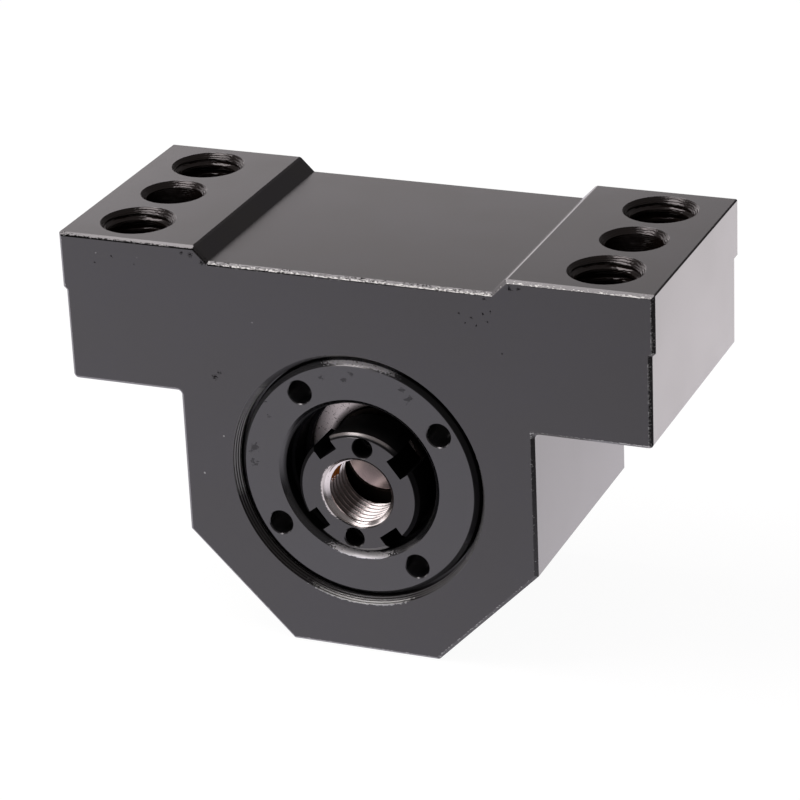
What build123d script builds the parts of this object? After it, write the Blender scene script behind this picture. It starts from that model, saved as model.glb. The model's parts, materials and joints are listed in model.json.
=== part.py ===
from build123d import *
import math
import os

os.makedirs("parts", exist_ok=True)

# Pillow block unit for a screw end, standing on its nose with the mounting pads up.
# X runs across the ears, Y into the bore from the front, Z from the nose to the pads.

# Housing outline
depth = 55.0
body_width = 76.0
ear_reach = 25.0  # from the body's flank to the reference edge at the ear's end
axis_to_nose = 38.0
axis_to_pads = 47.0
nose_cut = 22.0  # 45 degree cut at each lower corner
ear_height = 32.0
edge_height = 12.0  # ground reference edge at the top of each ear
edge_step = 0.7  # the ear stands back by this under its reference edge
pad_length = 30.0
recess_depth = 3.0  # between the pads, with 45 degree ends
face_chamfer = 0.7  # round the outline of the front and rear faces
long_chamfer = 0.3  # on the edges that run from front to rear
under_ear_fillet = 1.0
ear_corner_fillet = 1.0

# Holes in the pads
bolt_inset_x = 13.0  # from the reference edge to the holes' centres
bolt_inset_y = 10.5  # from the front and rear faces to the bolt holes' centres
bolt_thread_d = 14.0  # major diameter of the thread
bolt_mouth_d = 15.5
dowel_d = 11.7
dowel_mouth_d = 13.9
mouth_angle = 90.0  # of the countersinks at all holes
exit_chamfer = 0.5  # where the pad holes leave the ear

# Bearing, a double row of balls that carries thrust both ways
bearing_bore = 15.0
bearing_od = 45.0
bearing_width = 25.0
ball_d = 5.5
ball_play = 0.1  # between a ball and its raceways
contact_angle = 60.0
race_margin = 8.0  # degrees of raceway past the contact point
row_gap = 1.6  # from the middle of the bearing to the nearest point of a row
ball_web = 1.1  # least distance between two balls of a row
pocket_play = 0.15
cage_margin = 0.9  # cage past its pockets, at each side
cage_play = 0.3
face_wall = 3.0  # radial wall of an inner ring at its face
shield_gap = 0.3
shield_thickness = 0.8
shield_seat = 0.5  # step that holds the shield's rim
shield_fit = 0.03
shield_step = 0.3  # the shield's middle is dished by this
shield_step_width = 2.0
ring_chamfer = 0.4

# Fits of the bearing and the ring in the housing
seat_fit = 0.02
thread_fit = 0.1
thread_runout = 0.5
thread_over_seat = 3.5  # the ring's thread is larger than the bearing seat, on the radius
relief_over_thread = 0.25  # plain mouth of the bore in front of its thread, on the radius
relief_length = 4.0  # from the housing's face to the thread
mouth_flare = 1.1  # the bore widens by this, on the radius, toward the housing's face
mouth_flare_length = 1.9
rear_bore_d = 35.0
rear_chamfer = 1.0

# Retaining ring
ring_set_back = 0.8  # from the housing's face to the ring's face
ring_length = 12.2
ring_rim_chamfer = 0.9
ring_rim_under = 0.3  # the front rim is smaller than the thread behind it, on the radius
ring_end_chamfer = 0.5
ring_mouth_chamfer = 1.1
ring_mouth_over = 0.5  # the front of the opening is wider than where the nut lies, on the radius
ring_mouth_length = 4.0
nut_room = 2.8  # round the nut when it is centred
lip_height = 0.8
lip_width = 1.8
pin_hole_d = 5.0
pin_hole_depth = 6.0
pin_hole_chamfer = 0.2
pin_hole_inset = 4.7  # from the ring's thread to the centres of its pin holes
pin_hole_angle = 34.0
pin_hole_count = 4

# Lock nut, lying loose in the ring's opening
nut_wall = 5.5
nut_length = 11.0
nut_behind_face = 0.2
nut_rest_gap = 0.05
nut_chamfer = 0.85
nut_thread_chamfer = 0.26
slot_width = 4.6
slot_depth = 3.05
slot_count = 4
slot_angle = 37.7
screw_inset = 2.65  # from the nut's thread to the centres of its grub screws
screw_d = 4.0
screw_fit = 0.05
screw_length = 4.0
screw_sunk = 4.1
screw_hole_depth = 8.2
screw_angle = 82.5
screw_hole_chamfer = 0.25
screw_chamfer = 0.3
socket_width = 2.0  # across the flats
socket_depth = 2.2

# Places that follow from these sizes
width = body_width + 2 * ear_reach
height = axis_to_nose + axis_to_pads
bolt_span_x = width - 2 * bolt_inset_x
bolt_span_y = depth - 2 * bolt_inset_y
ear_bottom = height - ear_height
edge_bottom = height - edge_height
recess_floor = height - recess_depth
front_y = -depth / 2
rear_y = depth / 2
ring_front_y = front_y + ring_set_back
bearing_front_y = ring_front_y + ring_length
bearing_mid_y = bearing_front_y + bearing_width / 2
shoulder_y = bearing_front_y + bearing_width
seat_r = bearing_od / 2 + seat_fit
ring_thread_r = bearing_od / 2 + thread_over_seat
thread_r = bearing_bore / 2
nut_r = thread_r + nut_wall
nut_front_y = front_y + nut_behind_face
nut_drop = nut_room - nut_rest_gap
ring_bore_r = nut_r + nut_room
ring_rim_r = ring_thread_r - thread_fit - ring_rim_under
relief_r = ring_thread_r + relief_over_thread
screw_circle_r = thread_r + screw_inset

bore_axis = Axis((0, 0, axis_to_nose), (0, 1, 0))
bore_section = Plane(origin=(0, 0, axis_to_nose), x_dir=(0, 1, 0), z_dir=(1, 0, 0))
bearing_section = Plane(origin=(0, bearing_mid_y, axis_to_nose), x_dir=(0, 1, 0), z_dir=(1, 0, 0))
nut_centre_z = axis_to_nose - nut_drop
nut_axis = Axis((0, 0, nut_centre_z), (0, 1, 0))
nut_section = Plane(origin=(0, nut_front_y, nut_centre_z), x_dir=(0, 1, 0), z_dir=(1, 0, 0))
nut_face = Plane(origin=(0, nut_front_y, nut_centre_z), x_dir=(1, 0, 0), z_dir=(0, -1, 0))
ring_face = Plane(origin=(0, ring_front_y, axis_to_nose), x_dir=(1, 0, 0), z_dir=(0, -1, 0))
past = 1.0  # how far a cut starts outside the solid


def near(shapes, axis, value, tolerance=0.01):
    """Vertices or edges whose centre lies at this value along the axis."""
    return shapes.filter_by_position(axis, value - tolerance, value + tolerance)


# Housing: the outline of the block, drawn once for its right half
with BuildPart() as housing:
    with BuildSketch(Plane.XZ) as outline:
        with BuildLine():
            Polyline(
                (0, 0),
                (body_width / 2 - nose_cut, 0),
                (body_width / 2, nose_cut),
                (body_width / 2, ear_bottom),
                (width / 2 - edge_step, ear_bottom),
                (width / 2 - edge_step, edge_bottom - edge_step),
                (width / 2, edge_bottom),
                (width / 2, height),
                (width / 2 - pad_length, height),
                (width / 2 - pad_length - recess_depth, recess_floor),
                (0, recess_floor),
            )
            mirror(about=Plane.YZ)
        make_face()
        under_ear = near(outline.vertices(), Axis.Y, ear_bottom).sort_by(lambda v: abs(v.X))[:2]
        fillet(under_ear, radius=under_ear_fillet)
        ear_corner = near(outline.vertices(), Axis.Y, ear_bottom).sort_by(lambda v: abs(v.X))[-2:]
        fillet(ear_corner, radius=ear_corner_fillet)
    extrude(amount=depth / 2, both=True)
    end_faces = housing.faces().sort_by(Axis.Y)
    chamfer(end_faces[0].edges() + end_faces[-1].edges(), length=face_chamfer)
    long_edges = housing.edges().filter_by(Axis.Y)
    crisp_edges = near(long_edges, Axis.Z, height) + near(long_edges, Axis.Z, 0)
    chamfer(crisp_edges, length=long_chamfer)

    # stepped bore: flared mouth, relief, thread, bearing seat, shoulder and rear opening
    with BuildSketch(bore_section):
        with BuildLine():
            Polyline(
                (front_y - past, 0),
                (front_y - past, relief_r + mouth_flare * (1 + past / mouth_flare_length)),
                (front_y + mouth_flare_length, relief_r),
                (front_y + relief_length, relief_r),
                (front_y + relief_length, ring_thread_r),
                (bearing_front_y + thread_runout, ring_thread_r),
                (bearing_front_y + thread_runout, seat_r),
                (shoulder_y, seat_r),
                (shoulder_y, rear_bore_d / 2),
                (rear_y - rear_chamfer, rear_bore_d / 2),
                (rear_y + past, rear_bore_d / 2 + rear_chamfer + past),
                (rear_y + past, 0),
                close=True,
            )
        make_face()
    revolve(axis=bore_axis, mode=Mode.SUBTRACT)

    with Locations(Plane.XY.offset(height)):
        with GridLocations(bolt_span_x, bolt_span_y, 2, 2):
            CounterSinkHole(bolt_thread_d / 2, bolt_mouth_d / 2, ear_height, mouth_angle)
        with GridLocations(bolt_span_x, 0, 2, 1):
            CounterSinkHole(dowel_d / 2, dowel_mouth_d / 2, ear_height, mouth_angle)
    exits = near(housing.edges().filter_by(GeomType.CIRCLE), Axis.Z, ear_bottom)
    chamfer(exits, length=exit_chamfer)

housing.part.label = "housing"
export_step(housing.part, "parts/housing.step")


# Retaining ring: threaded outside behind its rim, with a chamfered mouth and a lip at its rear
with BuildPart() as threaded_ring:
    with BuildSketch(bore_section):
        with BuildLine():
            Polyline(
                (ring_front_y, ring_bore_r + ring_mouth_over + ring_mouth_chamfer),
                (ring_front_y, ring_rim_r - ring_rim_chamfer),
                (ring_front_y + ring_rim_chamfer, ring_rim_r),
                (front_y + relief_length, ring_rim_r),
                (front_y + relief_length + ring_rim_under, ring_rim_r + ring_rim_under),
                (bearing_front_y - ring_end_chamfer, ring_rim_r + ring_rim_under),
                (bearing_front_y, ring_rim_r + ring_rim_under - ring_end_chamfer),
                (bearing_front_y, ring_bore_r - lip_height),
                (bearing_front_y - lip_width, ring_bore_r - lip_height),
                (bearing_front_y - lip_width, ring_bore_r),
                (ring_front_y + ring_mouth_length + ring_mouth_over, ring_bore_r),
                (ring_front_y + ring_mouth_length, ring_bore_r + ring_mouth_over),
                (ring_front_y + ring_mouth_chamfer, ring_bore_r + ring_mouth_over),
                close=True,
            )
        make_face()
    revolve(axis=bore_axis)
    with Locations(ring_face):
        with PolarLocations(ring_thread_r - pin_hole_inset, pin_hole_count, start_angle=pin_hole_angle):
            CounterSinkHole(
                pin_hole_d / 2,
                pin_hole_d / 2 + pin_hole_chamfer,
                pin_hole_depth,
                mouth_angle,
            )

threaded_ring.part.label = "threaded_ring"
export_step(threaded_ring.part, "parts/threaded_ring.step")


# Lock nut: turned blank, four slots round its rim and two axial holes for grub screws
with BuildPart() as lock_nut:
    with BuildSketch(nut_section):
        with BuildLine():
            Polyline(
                (0, thread_r + nut_thread_chamfer),
                (0, nut_r - nut_chamfer),
                (nut_chamfer, nut_r),
                (nut_length - nut_chamfer, nut_r),
                (nut_length, nut_r - nut_chamfer),
                (nut_length, thread_r + nut_thread_chamfer),
                (nut_length - nut_thread_chamfer, thread_r),
                (nut_thread_chamfer, thread_r),
                close=True,
            )
        make_face()
    revolve(axis=nut_axis)
    with BuildSketch(nut_face):
        with PolarLocations(nut_r, slot_count, start_angle=slot_angle):
            Rectangle(2 * slot_depth, slot_width)
    extrude(amount=-nut_length, mode=Mode.SUBTRACT)
    with Locations(nut_face):
        with PolarLocations(screw_circle_r, 2, start_angle=screw_angle):
            CounterSinkHole(
                screw_d / 2 + screw_fit,
                screw_d / 2 + screw_fit + screw_hole_chamfer,
                screw_hole_depth,
                mouth_angle,
            )

lock_nut.part.label = "lock_nut"
export_step(lock_nut.part, "parts/lock_nut.step")


# Grub screws of the nut, each with a hexagon socket that faces forward
for name, angle in (("set_screw_top", screw_angle), ("set_screw_bottom", screw_angle + 180)):
    turn = math.radians(angle)
    screw_head = Plane(
        origin=(
            screw_circle_r * math.cos(turn),
            nut_front_y + screw_sunk,
            nut_centre_z + screw_circle_r * math.sin(turn),
        ),
        x_dir=(1, 0, 0),
        z_dir=(0, -1, 0),
    )
    with BuildPart() as set_screw:
        with BuildSketch(screw_head):
            Circle(screw_d / 2)
        extrude(amount=-screw_length)
        chamfer(set_screw.edges().filter_by(GeomType.CIRCLE), length=screw_chamfer)
        with BuildSketch(screw_head):
            RegularPolygon(socket_width / 2, 6, major_radius=False)
        extrude(amount=-socket_depth, mode=Mode.SUBTRACT)
    set_screw.part.label = name
    export_step(set_screw.part, f"parts/{name}.step")


# Bearing: sizes of its section, measured from its middle plane and its axis
half_width = bearing_width / 2
ball_r = ball_d / 2
race_r = ball_r + ball_play
pitch_r = (bearing_bore + bearing_od) / 4
row_offset = ball_r + row_gap
edge_angle = math.radians(90 - contact_angle - race_margin)
mid_angle = (edge_angle + math.pi / 2) / 2
inner_shoulder_r = pitch_r - race_r * math.sin(edge_angle)
outer_rib_r = pitch_r + race_r * math.sin(edge_angle)
face_land_r = thread_r + face_wall
shield_bore_r = face_land_r + shield_gap
shield_front = half_width - shield_gap
shield_back = shield_front - shield_thickness
inner_step = shield_back - shield_gap
outer_land_r = pitch_r + race_r
shield_seat_r = outer_land_r + shield_seat


def on_race(angle, out, up):
    """A point of the raceway's arc, turned outboard or inboard, above or below the balls."""
    return (
        row_offset + out * race_r * math.cos(angle),
        pitch_r + up * race_r * math.sin(angle),
    )


# Outer ring: one piece, with a rib between its two raceways
with BuildPart() as outer_ring:
    with BuildSketch(bearing_section):
        with BuildLine():
            Polyline((0, outer_rib_r), on_race(edge_angle, -1, 1))
            ThreePointArc(
                on_race(edge_angle, -1, 1),
                on_race(mid_angle, -1, 1),
                on_race(math.pi / 2, -1, 1),
            )
            Polyline(
                (row_offset, outer_land_r),
                (shield_back, outer_land_r),
                (shield_back, shield_seat_r),
                (half_width, shield_seat_r),
                (half_width, bearing_od / 2 - ring_chamfer),
                (half_width - ring_chamfer, bearing_od / 2),
                (0, bearing_od / 2),
            )
            mirror(about=Plane.YZ)
        make_face()
    revolve(axis=bore_axis)

outer_ring.part.label = "outer_ring"
export_step(outer_ring.part, "parts/outer_ring.step")


for side, end in ((-1, "front"), (1, "rear")):
    row_plane = bearing_section if end == "rear" else Plane(
        origin=bearing_section.origin, x_dir=(0, -1, 0), z_dir=(-1, 0, 0)
    )
    row_y = bearing_mid_y + side * row_offset

    # Half of the split inner ring, with its high shoulder outboard of the balls
    with BuildPart() as inner_ring:
        with BuildSketch(row_plane):
            with BuildLine():
                ThreePointArc(
                    on_race(edge_angle, 1, -1),
                    on_race(mid_angle, 1, -1),
                    on_race(math.pi / 2, 1, -1),
                )
                Polyline(
                    (row_offset, pitch_r - race_r),
                    (0, pitch_r - race_r),
                    (0, thread_r),
                    (half_width - ring_chamfer, thread_r),
                    (half_width, thread_r + ring_chamfer),
                    (half_width, face_land_r),
                    (inner_step, face_land_r),
                    (inner_step, inner_shoulder_r),
                    on_race(edge_angle, 1, -1),
                )
            make_face()
        revolve(axis=bore_axis)
    inner_ring.part.label = f"inner_ring_{end}"
    export_step(inner_ring.part, f"parts/inner_ring_{end}.step")

    # Pressed sheet shield, held by its rim in the outer ring
    with BuildPart() as shield:
        with BuildSketch(row_plane):
            with BuildLine():
                step_r = shield_seat_r - shield_step_width
                Polyline(
                    (shield_back, shield_bore_r),
                    (shield_front - shield_step, shield_bore_r),
                    (shield_front - shield_step, step_r - shield_step),
                    (shield_front, step_r),
                    (shield_front, shield_seat_r - shield_fit),
                    (shield_back, shield_seat_r - shield_fit),
                    close=True,
                )
            make_face()
        revolve(axis=bore_axis)
    shield.part.label = f"shield_{end}"
    export_step(shield.part, f"parts/shield_{end}.step")

    # Cage: a ring between the shoulders, with one radial pocket for each ball
    cage_reach = ball_r + pocket_play + cage_margin
    ball_count = int(2 * math.pi * pitch_r // (ball_d + ball_web))
    with BuildPart() as cage:
        with BuildSketch(row_plane):
            with BuildLine():
                Polyline(
                    (row_offset - cage_reach, inner_shoulder_r + cage_play),
                    (row_offset + cage_reach, inner_shoulder_r + cage_play),
                    (row_offset + cage_reach, outer_rib_r - cage_play),
                    (row_offset - cage_reach, outer_rib_r - cage_play),
                    close=True,
                )
            make_face()
        revolve(axis=bore_axis)
        for k in range(ball_count):
            turn = 2 * math.pi * k / ball_count
            radial = Plane(origin=(0, row_y, axis_to_nose), z_dir=(math.cos(turn), 0, math.sin(turn)))
            with BuildSketch(radial):
                Circle(ball_r + pocket_play)
        extrude(amount=bearing_od / 2, mode=Mode.SUBTRACT)
    cage.part.label = f"cage_{end}"
    export_step(cage.part, f"parts/cage_{end}.step")

    for k in range(ball_count):
        turn = 2 * math.pi * k / ball_count
        ball_centre = (pitch_r * math.cos(turn), row_y, axis_to_nose + pitch_r * math.sin(turn))
        with BuildPart() as ball:
            with Locations(ball_centre):
                Sphere(ball_r)
        ball.part.label = f"ball_{end}_{k + 1:02d}"
        export_step(ball.part, f"parts/{ball.part.label}.step")
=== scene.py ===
import json
import math

import bmesh
import bpy
from mathutils import Matrix, Vector


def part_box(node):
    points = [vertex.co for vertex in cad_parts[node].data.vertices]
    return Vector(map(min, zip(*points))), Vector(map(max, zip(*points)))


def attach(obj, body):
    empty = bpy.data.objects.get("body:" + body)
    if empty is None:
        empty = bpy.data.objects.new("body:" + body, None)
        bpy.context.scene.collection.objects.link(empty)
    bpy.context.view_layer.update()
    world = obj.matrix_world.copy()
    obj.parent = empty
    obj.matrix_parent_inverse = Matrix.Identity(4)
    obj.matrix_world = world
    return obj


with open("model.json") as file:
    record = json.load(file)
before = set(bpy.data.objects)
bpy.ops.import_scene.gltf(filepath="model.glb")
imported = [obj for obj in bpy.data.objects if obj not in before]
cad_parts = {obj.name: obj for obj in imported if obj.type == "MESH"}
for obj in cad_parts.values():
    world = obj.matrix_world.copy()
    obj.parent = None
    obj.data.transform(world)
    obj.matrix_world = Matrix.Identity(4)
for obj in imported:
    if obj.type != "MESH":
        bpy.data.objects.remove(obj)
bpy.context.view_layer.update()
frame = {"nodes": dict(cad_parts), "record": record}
mm = 0.001

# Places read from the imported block, in millimetres
low, high = (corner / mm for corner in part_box("housing"))
frontY, rearY, topZ, halfWidth = low.y, high.y, high.z, high.x
mounts = {mount["name"]: mount for mount in frame["record"]["mounts"]}
boltGrid = mounts["mounting_bolts"]["dims"]
boltX, boltY = boltGrid["spacing_x_mm"] / 2, boltGrid["spacing_y_mm"] / 2
boreZ = mounts["shaft_bore"]["pos_m"][2] / mm
nutZ = mounts["nut_thread"]["pos_m"][2] / mm
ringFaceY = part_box("threaded_ring")[0].y / mm
nutFrontY, nutRearY = (corner.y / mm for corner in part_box("lock_nut"))
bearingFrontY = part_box("inner_ring_front")[0].y / mm
print("frame loaded:", len(frame["nodes"]), "nodes")


# The camera looks down on the front from the right, through a long lens
cameraSet = {
    "place": (0.25365, -0.60568, 0.33150),
    "aim": (-0.0015, 0.0001, 0.0440),
    "roll": -2.59,  # degrees, so that the right side dips
    "lens": 156.3,
    "sensor": 36,
}
cameraData = bpy.data.cameras.new("camera")
cameraData.lens = cameraSet["lens"]
cameraData.sensor_width = cameraSet["sensor"]
camera = bpy.data.objects.new("camera", cameraData)
bpy.context.scene.collection.objects.link(camera)
camera.location = cameraSet["place"]
sight = Vector(cameraSet["aim"]) - camera.location
roll = Matrix.Rotation(math.radians(cameraSet["roll"]), 3, "Z")
camera.rotation_euler = (sight.to_track_quat("-Z", "Y").to_matrix() @ roll).to_euler()
bpy.context.scene.camera = camera
bpy.context.scene.view_settings.view_transform = "Standard"
print("camera set")


# Colours are written as sRGB and turned to linear here
def linearColour(code):
    channels = [int(code[i:i + 2], 16) / 255 for i in (1, 3, 5)]
    return tuple(c / 12.92 if c <= 0.04045 else ((c + 0.055) / 1.055) ** 2.4 for c in channels) + (1.0,)


# A node with its settings, and what goes into its sockets: a value or another node's output
def addNode(tree, kind, settings, inputs):
    node = tree.nodes.new(kind)
    for name, value in settings.items():
        setattr(node, name, value)
    for socket, value in inputs.items():
        if isinstance(value, bpy.types.NodeSocket):
            tree.links.new(value, node.inputs[socket])
        else:
            node.inputs[socket].default_value = value
    return node


# The studio is bright on the left and dark on the right. The camera sees white all round, which Light Path
# gives it, and on the floor no more than the block's soft shadow.
studioSet = {
    "tint": "#FFF8FA",
    "floorTint": "#FAF5FF",
    "floorSize": 8.0,
    "floorWhite": "#E6E6E6",
    "cameraGlow": 0.95,
    "cameraWhite": "#606060",
    "sky": 1.17,
    "skyHeights": (0.295, 0.44),  # upward part of the direction, from the bright horizon to the dark above
    "rightSky": 0.13,
    "skyEdges": (-0.30, -0.12),  # sideways part of the direction, from the bright side to the dark one
    "leftSky": 1.25,
    "leftEdges": (-0.44, -0.41),
    "floorSlope": (1.2, -0.9, 0),  # how fast the floor's image dims to the right and toward the camera
    "floorDimming": (-0.09, 0.81),  # how far along that slope the image is bright, and where it is darkest
    "rightFloor": 0.17,
    "floorEdges": (0.03, 0.13),  # metres across the floor
}


def buildStudio(studio):
    world = bpy.data.worlds.new("studio")
    bpy.context.scene.world = world
    world.use_nodes = True
    tree = world.node_tree
    tree.nodes.clear()
    direction = addNode(tree, "ShaderNodeTexCoord", {}, {}).outputs["Generated"]
    towards = addNode(tree, "ShaderNodeSeparateXYZ", {}, {0: direction}).outputs
    height = addNode(tree, "ShaderNodeMapRange", {}, {
        "Value": towards["Z"], "From Min": studio["skyHeights"][0], "From Max": studio["skyHeights"][1],
        "To Min": studio["sky"], "To Max": studio["rightSky"],
    }).outputs[0]
    right = addNode(tree, "ShaderNodeMapRange", {}, {
        "Value": towards["X"], "From Min": studio["skyEdges"][0], "From Max": studio["skyEdges"][1],
        "To Min": 1.0, "To Max": 0.0,
    }).outputs[0]
    left = addNode(tree, "ShaderNodeMapRange", {}, {
        "Value": towards["X"], "From Min": studio["leftEdges"][0], "From Max": studio["leftEdges"][1],
        "To Min": studio["leftSky"], "To Max": 1.0,
    }).outputs[0]
    glow = addNode(tree, "ShaderNodeMath", {"operation": "MULTIPLY"}, {0: height, 1: left}).outputs[0]
    glow = addNode(tree, "ShaderNodeMix", {}, {0: right, 2: studio["rightSky"], 3: glow}).outputs[0]
    isCamera = addNode(tree, "ShaderNodeLightPath", {}, {}).outputs["Is Camera Ray"]
    strength = addNode(tree, "ShaderNodeMix", {}, {0: isCamera, 2: glow, 3: 1.0}).outputs[0]
    colour = addNode(tree, "ShaderNodeMix", {"data_type": "RGBA"}, {
        0: isCamera, 6: linearColour(studio["tint"]), 7: (1, 1, 1, 1),
    }).outputs[2]
    background = addNode(tree, "ShaderNodeBackground", {}, {"Color": colour, "Strength": strength})
    addNode(tree, "ShaderNodeOutputWorld", {}, {"Surface": background.outputs[0]})

    material = bpy.data.materials.new("whiteTable")
    material.use_nodes = True
    tree = material.node_tree
    tree.nodes.clear()
    rays = addNode(tree, "ShaderNodeLightPath", {}, {}).outputs
    colour = addNode(tree, "ShaderNodeMix", {"data_type": "RGBA"}, {
        0: rays["Is Camera Ray"], 6: linearColour(studio["floorWhite"]),
        7: linearColour(studio["cameraWhite"]),
    }).outputs[2]
    lit = addNode(tree, "ShaderNodeBsdfDiffuse", {}, {"Color": colour}).outputs[0]
    forCamera = addNode(tree, "ShaderNodeMath", {"operation": "MULTIPLY"}, {
        0: rays["Is Camera Ray"], 1: studio["cameraGlow"],
    }).outputs[0]
    glow = addNode(tree, "ShaderNodeEmission", {}, {"Color": (1, 1, 1, 1), "Strength": forCamera}).outputs[0]
    seen = addNode(tree, "ShaderNodeAddShader", {}, {0: lit, 1: glow}).outputs[0]
    # For glossy rays the floor is a painted reflection: it glows, bright on the left and to the rear and
    # dimming to the right and toward the camera, whatever light falls on it.
    place = addNode(tree, "ShaderNodeTexCoord", {}, {}).outputs["Object"]
    across = addNode(tree, "ShaderNodeSeparateXYZ", {}, {0: place}).outputs["X"]
    dimming = addNode(tree, "ShaderNodeVectorMath", {"operation": "DOT_PRODUCT"}, {
        0: place, 1: studio["floorSlope"],
    }).outputs["Value"]
    mirrored = addNode(tree, "ShaderNodeMapRange", {}, {
        "Value": dimming, "From Min": studio["floorDimming"][0], "From Max": studio["floorDimming"][1],
        "To Min": 1.0, "To Max": studio["rightFloor"],
    }).outputs[0]
    right = addNode(tree, "ShaderNodeMapRange", {}, {
        "Value": across, "From Min": studio["floorEdges"][0], "From Max": studio["floorEdges"][1],
        "To Min": 1.0, "To Max": studio["rightFloor"],
    }).outputs[0]
    mirrored = addNode(tree, "ShaderNodeMath", {"operation": "MULTIPLY"}, {0: mirrored, 1: right}).outputs[0]
    image = addNode(tree, "ShaderNodeEmission", {}, {
        "Color": linearColour(studio["floorTint"]), "Strength": mirrored,
    }).outputs[0]
    table = addNode(tree, "ShaderNodeMixShader", {}, {0: rays["Is Glossy Ray"], 1: seen, 2: image}).outputs[0]
    addNode(tree, "ShaderNodeOutputMaterial", {}, {"Surface": table})

    mesh = bpy.data.meshes.new("floor")
    bm = bmesh.new()
    bmesh.ops.create_grid(bm, x_segments=1, y_segments=1, size=studio["floorSize"] / 2)
    bm.to_mesh(mesh)
    bm.free()
    floor = bpy.data.objects.new("floor", mesh)
    mesh.materials.append(material)
    bpy.context.scene.collection.objects.link(floor)


buildStudio(studioSet)

# Soft boxes: where each stands, what it points at, its size in metres and the brightness of its face
lampSet = {
    "overhead": {"place": (-0.37, -0.17, 0.95), "aim": (0, 0, 0.04), "size": (0.62, 0.56), "face": 4.4},
    "threadFill": {
        "place": (-0.39, -0.69, 0.50), "aim": (0, -0.025, 0.035), "size": (0.45, 0.26), "face": 1.5,
    },
    "tableGlow": {
        "place": (0.20, 0.17, 0.001), "aim": (0.20, 0.17, 1), "size": (0.22, 0.34), "face": 1.68,
    },
    "tableNear": {
        "place": (0.0675, 0.09, 0.001), "aim": (0.0675, 0.09, 1), "size": (0.045, 0.22), "face": 0.98,
    },
}


def addLamp(name, lamp):
    data = bpy.data.lights.new(name, "AREA")
    data.shape = "RECTANGLE"
    data.size, data.size_y = lamp["size"]
    data.energy = lamp["face"] * math.pi * data.size * data.size_y
    data.color = linearColour(studioSet["tint"])[:3]
    lampObject = bpy.data.objects.new(name, data)
    lampObject.location = lamp["place"]
    toAim = Vector(lamp["aim"]) - lampObject.location
    lampObject.rotation_euler = toAim.to_track_quat("-Z", "Y").to_euler()
    lampObject.visible_camera = False
    bpy.context.scene.collection.objects.link(lampObject)


for lampName, lamp in lampSet.items():
    addLamp(lampName, lamp)
print("studio built")


def newMaterial(name):
    material = bpy.data.materials.new(name)
    material.use_nodes = True
    return material, material.node_tree, material.node_tree.nodes["Principled BSDF"]


# Object coordinates in millimetres, so that a pattern's scale is one over a real size
def millimetres(tree):
    place = addNode(tree, "ShaderNodeTexCoord", {}, {}).outputs["Object"]
    return addNode(tree, "ShaderNodeVectorMath", {"operation": "SCALE"}, {
        0: place, "Scale": 1 / mm,
    }).outputs[0]


# The way to a point from an axis that runs along Y at this height
def awayFrom(tree, place, z):
    away = addNode(tree, "ShaderNodeVectorMath", {"operation": "SUBTRACT"}, {0: place, 1: (0, 0, z)})
    return addNode(tree, "ShaderNodeVectorMath", {"operation": "MULTIPLY"}, {
        0: away.outputs[0], 1: (1, 0, 1),
    }).outputs[0]


# How far a point lies from that axis
def radiusFrom(tree, place, z):
    return addNode(tree, "ShaderNodeVectorMath", {"operation": "LENGTH"}, {
        0: awayFrom(tree, place, z),
    }).outputs["Value"]


# Share of a sector round an axis along Y. A sector's start and end are angles in degrees from +X toward +Z,
# and its third number is how many degrees its edges take to fade.
def sectorShare(tree, place, z, sector):
    start, end, fade = sector
    ray = addNode(tree, "ShaderNodeVectorMath", {"operation": "NORMALIZE"}, {0: awayFrom(tree, place, z)})
    middle = math.radians((start + end) / 2)
    half = math.radians((end - start) / 2)
    along = addNode(tree, "ShaderNodeVectorMath", {"operation": "DOT_PRODUCT"}, {
        0: ray.outputs[0], 1: (math.cos(middle), 0, math.sin(middle)),
    }).outputs["Value"]
    return addNode(tree, "ShaderNodeMapRange", {}, {
        "Value": along, "From Min": math.cos(half + math.radians(fade)), "From Max": math.cos(half),
    }).outputs[0]


# Share of a rim in one sector. Its edge is where the share begins and where it is full.
def rimShare(tree, place, z, rim):
    outside = addNode(tree, "ShaderNodeMapRange", {}, {
        "Value": radiusFrom(tree, place, z), "From Min": rim["edge"][0], "From Max": rim["edge"][1],
        "To Max": rim["share"],
    }).outputs[0]
    return addNode(tree, "ShaderNodeMath", {"operation": "MULTIPLY"}, {
        0: outside, 1: sectorShare(tree, place, z, rim["sector"]),
    }).outputs[0]


# Share of the rubbed part of a mouth round the bore: inside of a radius, down to a depth and in one sector
def rubbedShare(tree, place, behind, look):
    inMouth = addNode(tree, "ShaderNodeMapRange", {}, {
        "Value": radiusFrom(tree, place, boreZ), "From Min": look["rubR"][0], "From Max": look["rubR"][1],
    }).outputs[0]
    shallow = addNode(tree, "ShaderNodeMapRange", {}, {
        "Value": behind, "From Min": look["rubDepth"][0], "From Max": look["rubDepth"][1],
    }).outputs[0]
    zone = addNode(tree, "ShaderNodeMath", {"operation": "MULTIPLY"}, {0: inMouth, 1: shallow}).outputs[0]
    return addNode(tree, "ShaderNodeMath", {"operation": "MULTIPLY"}, {
        0: zone, 1: sectorShare(tree, place, boreZ, look["rubSector"]),
    }).outputs[0]


# Even waves of this pitch along a length
def waveAlong(tree, length, pitch):
    turns = addNode(tree, "ShaderNodeMath", {"operation": "MULTIPLY"}, {
        0: length, 1: math.tau / pitch,
    }).outputs[0]
    return addNode(tree, "ShaderNodeMath", {"operation": "SINE"}, {0: turns}).outputs[0]


# How patches of wear, soot, painted shade and painted highlight break up
patchSet = {
    "squeeze": (0.55, 1, 1), "detail": 3.0, "roughness": 0.65, "noise": (0.3, 0.7),
    "gain": 1.2, "edge": (1.1, 1.25), "spotPeak": 0.75,
}


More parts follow.
